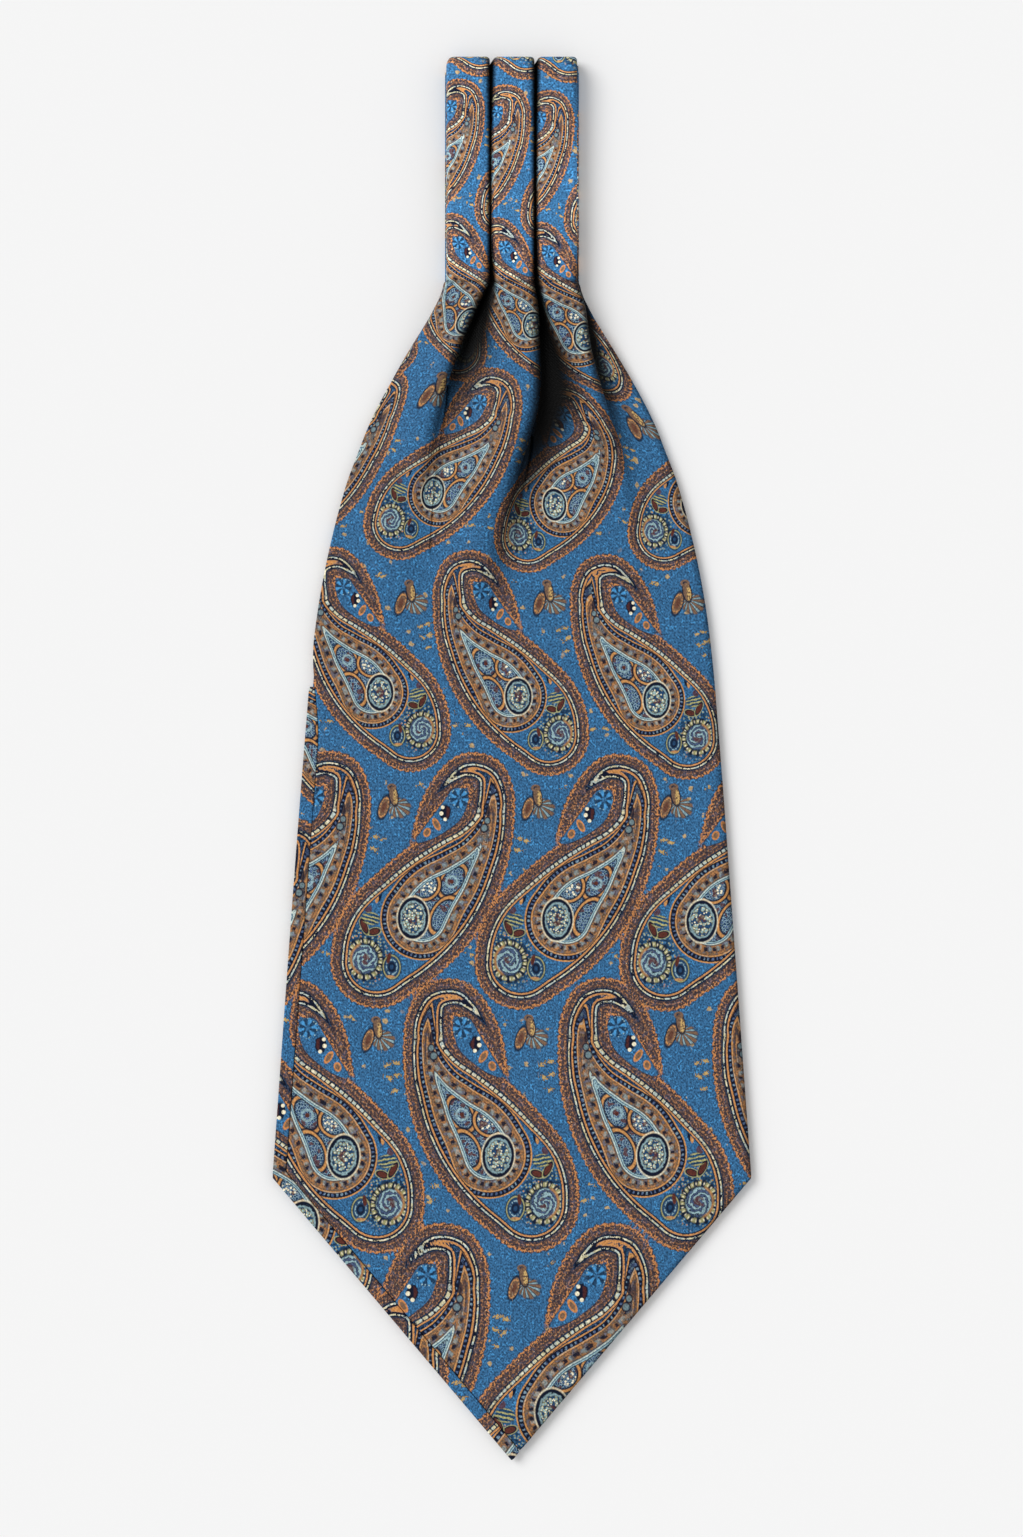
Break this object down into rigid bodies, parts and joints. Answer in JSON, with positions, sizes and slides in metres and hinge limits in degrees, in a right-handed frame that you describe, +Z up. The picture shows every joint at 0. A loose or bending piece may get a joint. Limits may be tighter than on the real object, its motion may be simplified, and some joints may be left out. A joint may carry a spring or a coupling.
{
  "type": "silk cravat",
  "caption": "Pleated paisley silk cravat, pressed and folded in half at its neckband, lying flat on a surface.",
  "frame": {"origin": "centre of the footprint, on the surface the cravat lies on", "axes": "+Y from the blade's point to the fold of the neckband, +Z up off the surface, +X across to the right"},
  "size_m": [0.1515, 0.4446, 0.0118],
  "materials": {
    "silk_front": "satin",
    "silk_band": "satin",
    "silk_edge": "satin",
    "silk_under": "satin"
  },
  "bodies": {
    "root": {"front_blade": "silk_front", "neckband": "silk_band", "side_facing": "silk_edge", "hidden_layers": "silk_under"}
  },
  "joints": []
}
